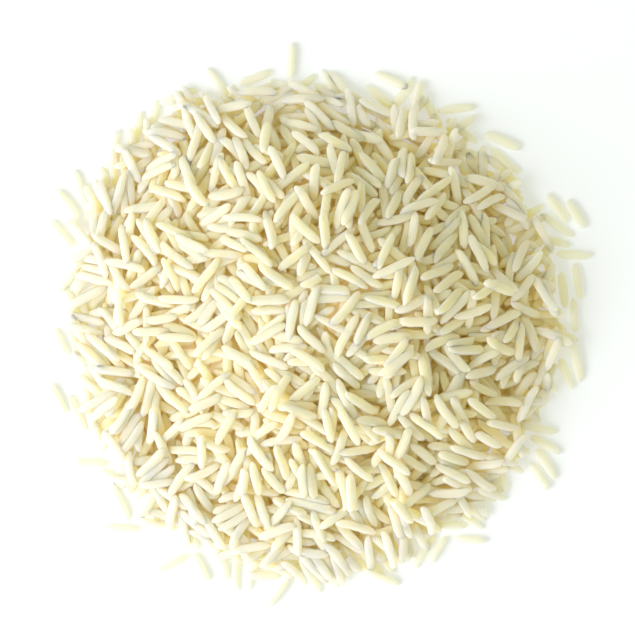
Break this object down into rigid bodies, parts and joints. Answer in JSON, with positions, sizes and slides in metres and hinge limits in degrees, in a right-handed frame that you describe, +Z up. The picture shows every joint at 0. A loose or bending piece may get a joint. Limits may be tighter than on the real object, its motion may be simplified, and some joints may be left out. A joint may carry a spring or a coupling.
{
  "type": "heap of long-grain rice",
  "caption": "Low round heap of dry white long-grain rice on a flat underside, with single grains scattered round its rim.",
  "frame": {"origin": "on the floor under the middle of the heap and its stray grains", "axes": "+Z up from the floor, towards the viewer of the picture; +X to the picture's right; +Y to the picture's top"},
  "size_m": [0.1093, 0.1139, 0.0221],
  "materials": {
    "rice": "satin, slightly translucent"
  },
  "bodies": {
    "root": {"rice_heap": "rice", "stray_grain_01": "rice", "stray_grain_02": "rice", "stray_grain_03": "rice", "stray_grain_04": "rice", "stray_grain_05": "rice", "stray_grain_06": "rice", "stray_grain_07": "rice", "stray_grain_08": "rice", "stray_grain_09": "rice", "stray_grain_10": "rice", "stray_grain_11": "rice", "stray_grain_12": "rice", "stray_grain_13": "rice", "stray_grain_14": "rice", "stray_grain_15": "rice", "stray_grain_16": "rice", "stray_grain_17": "rice", "stray_grain_18": "rice", "stray_grain_19": "rice", "stray_grain_20": "rice", "stray_grain_21": "rice", "stray_grain_22": "rice", "stray_grain_23": "rice", "stray_grain_24": "rice", "stray_grain_25": "rice"}
  },
  "joints": []
}
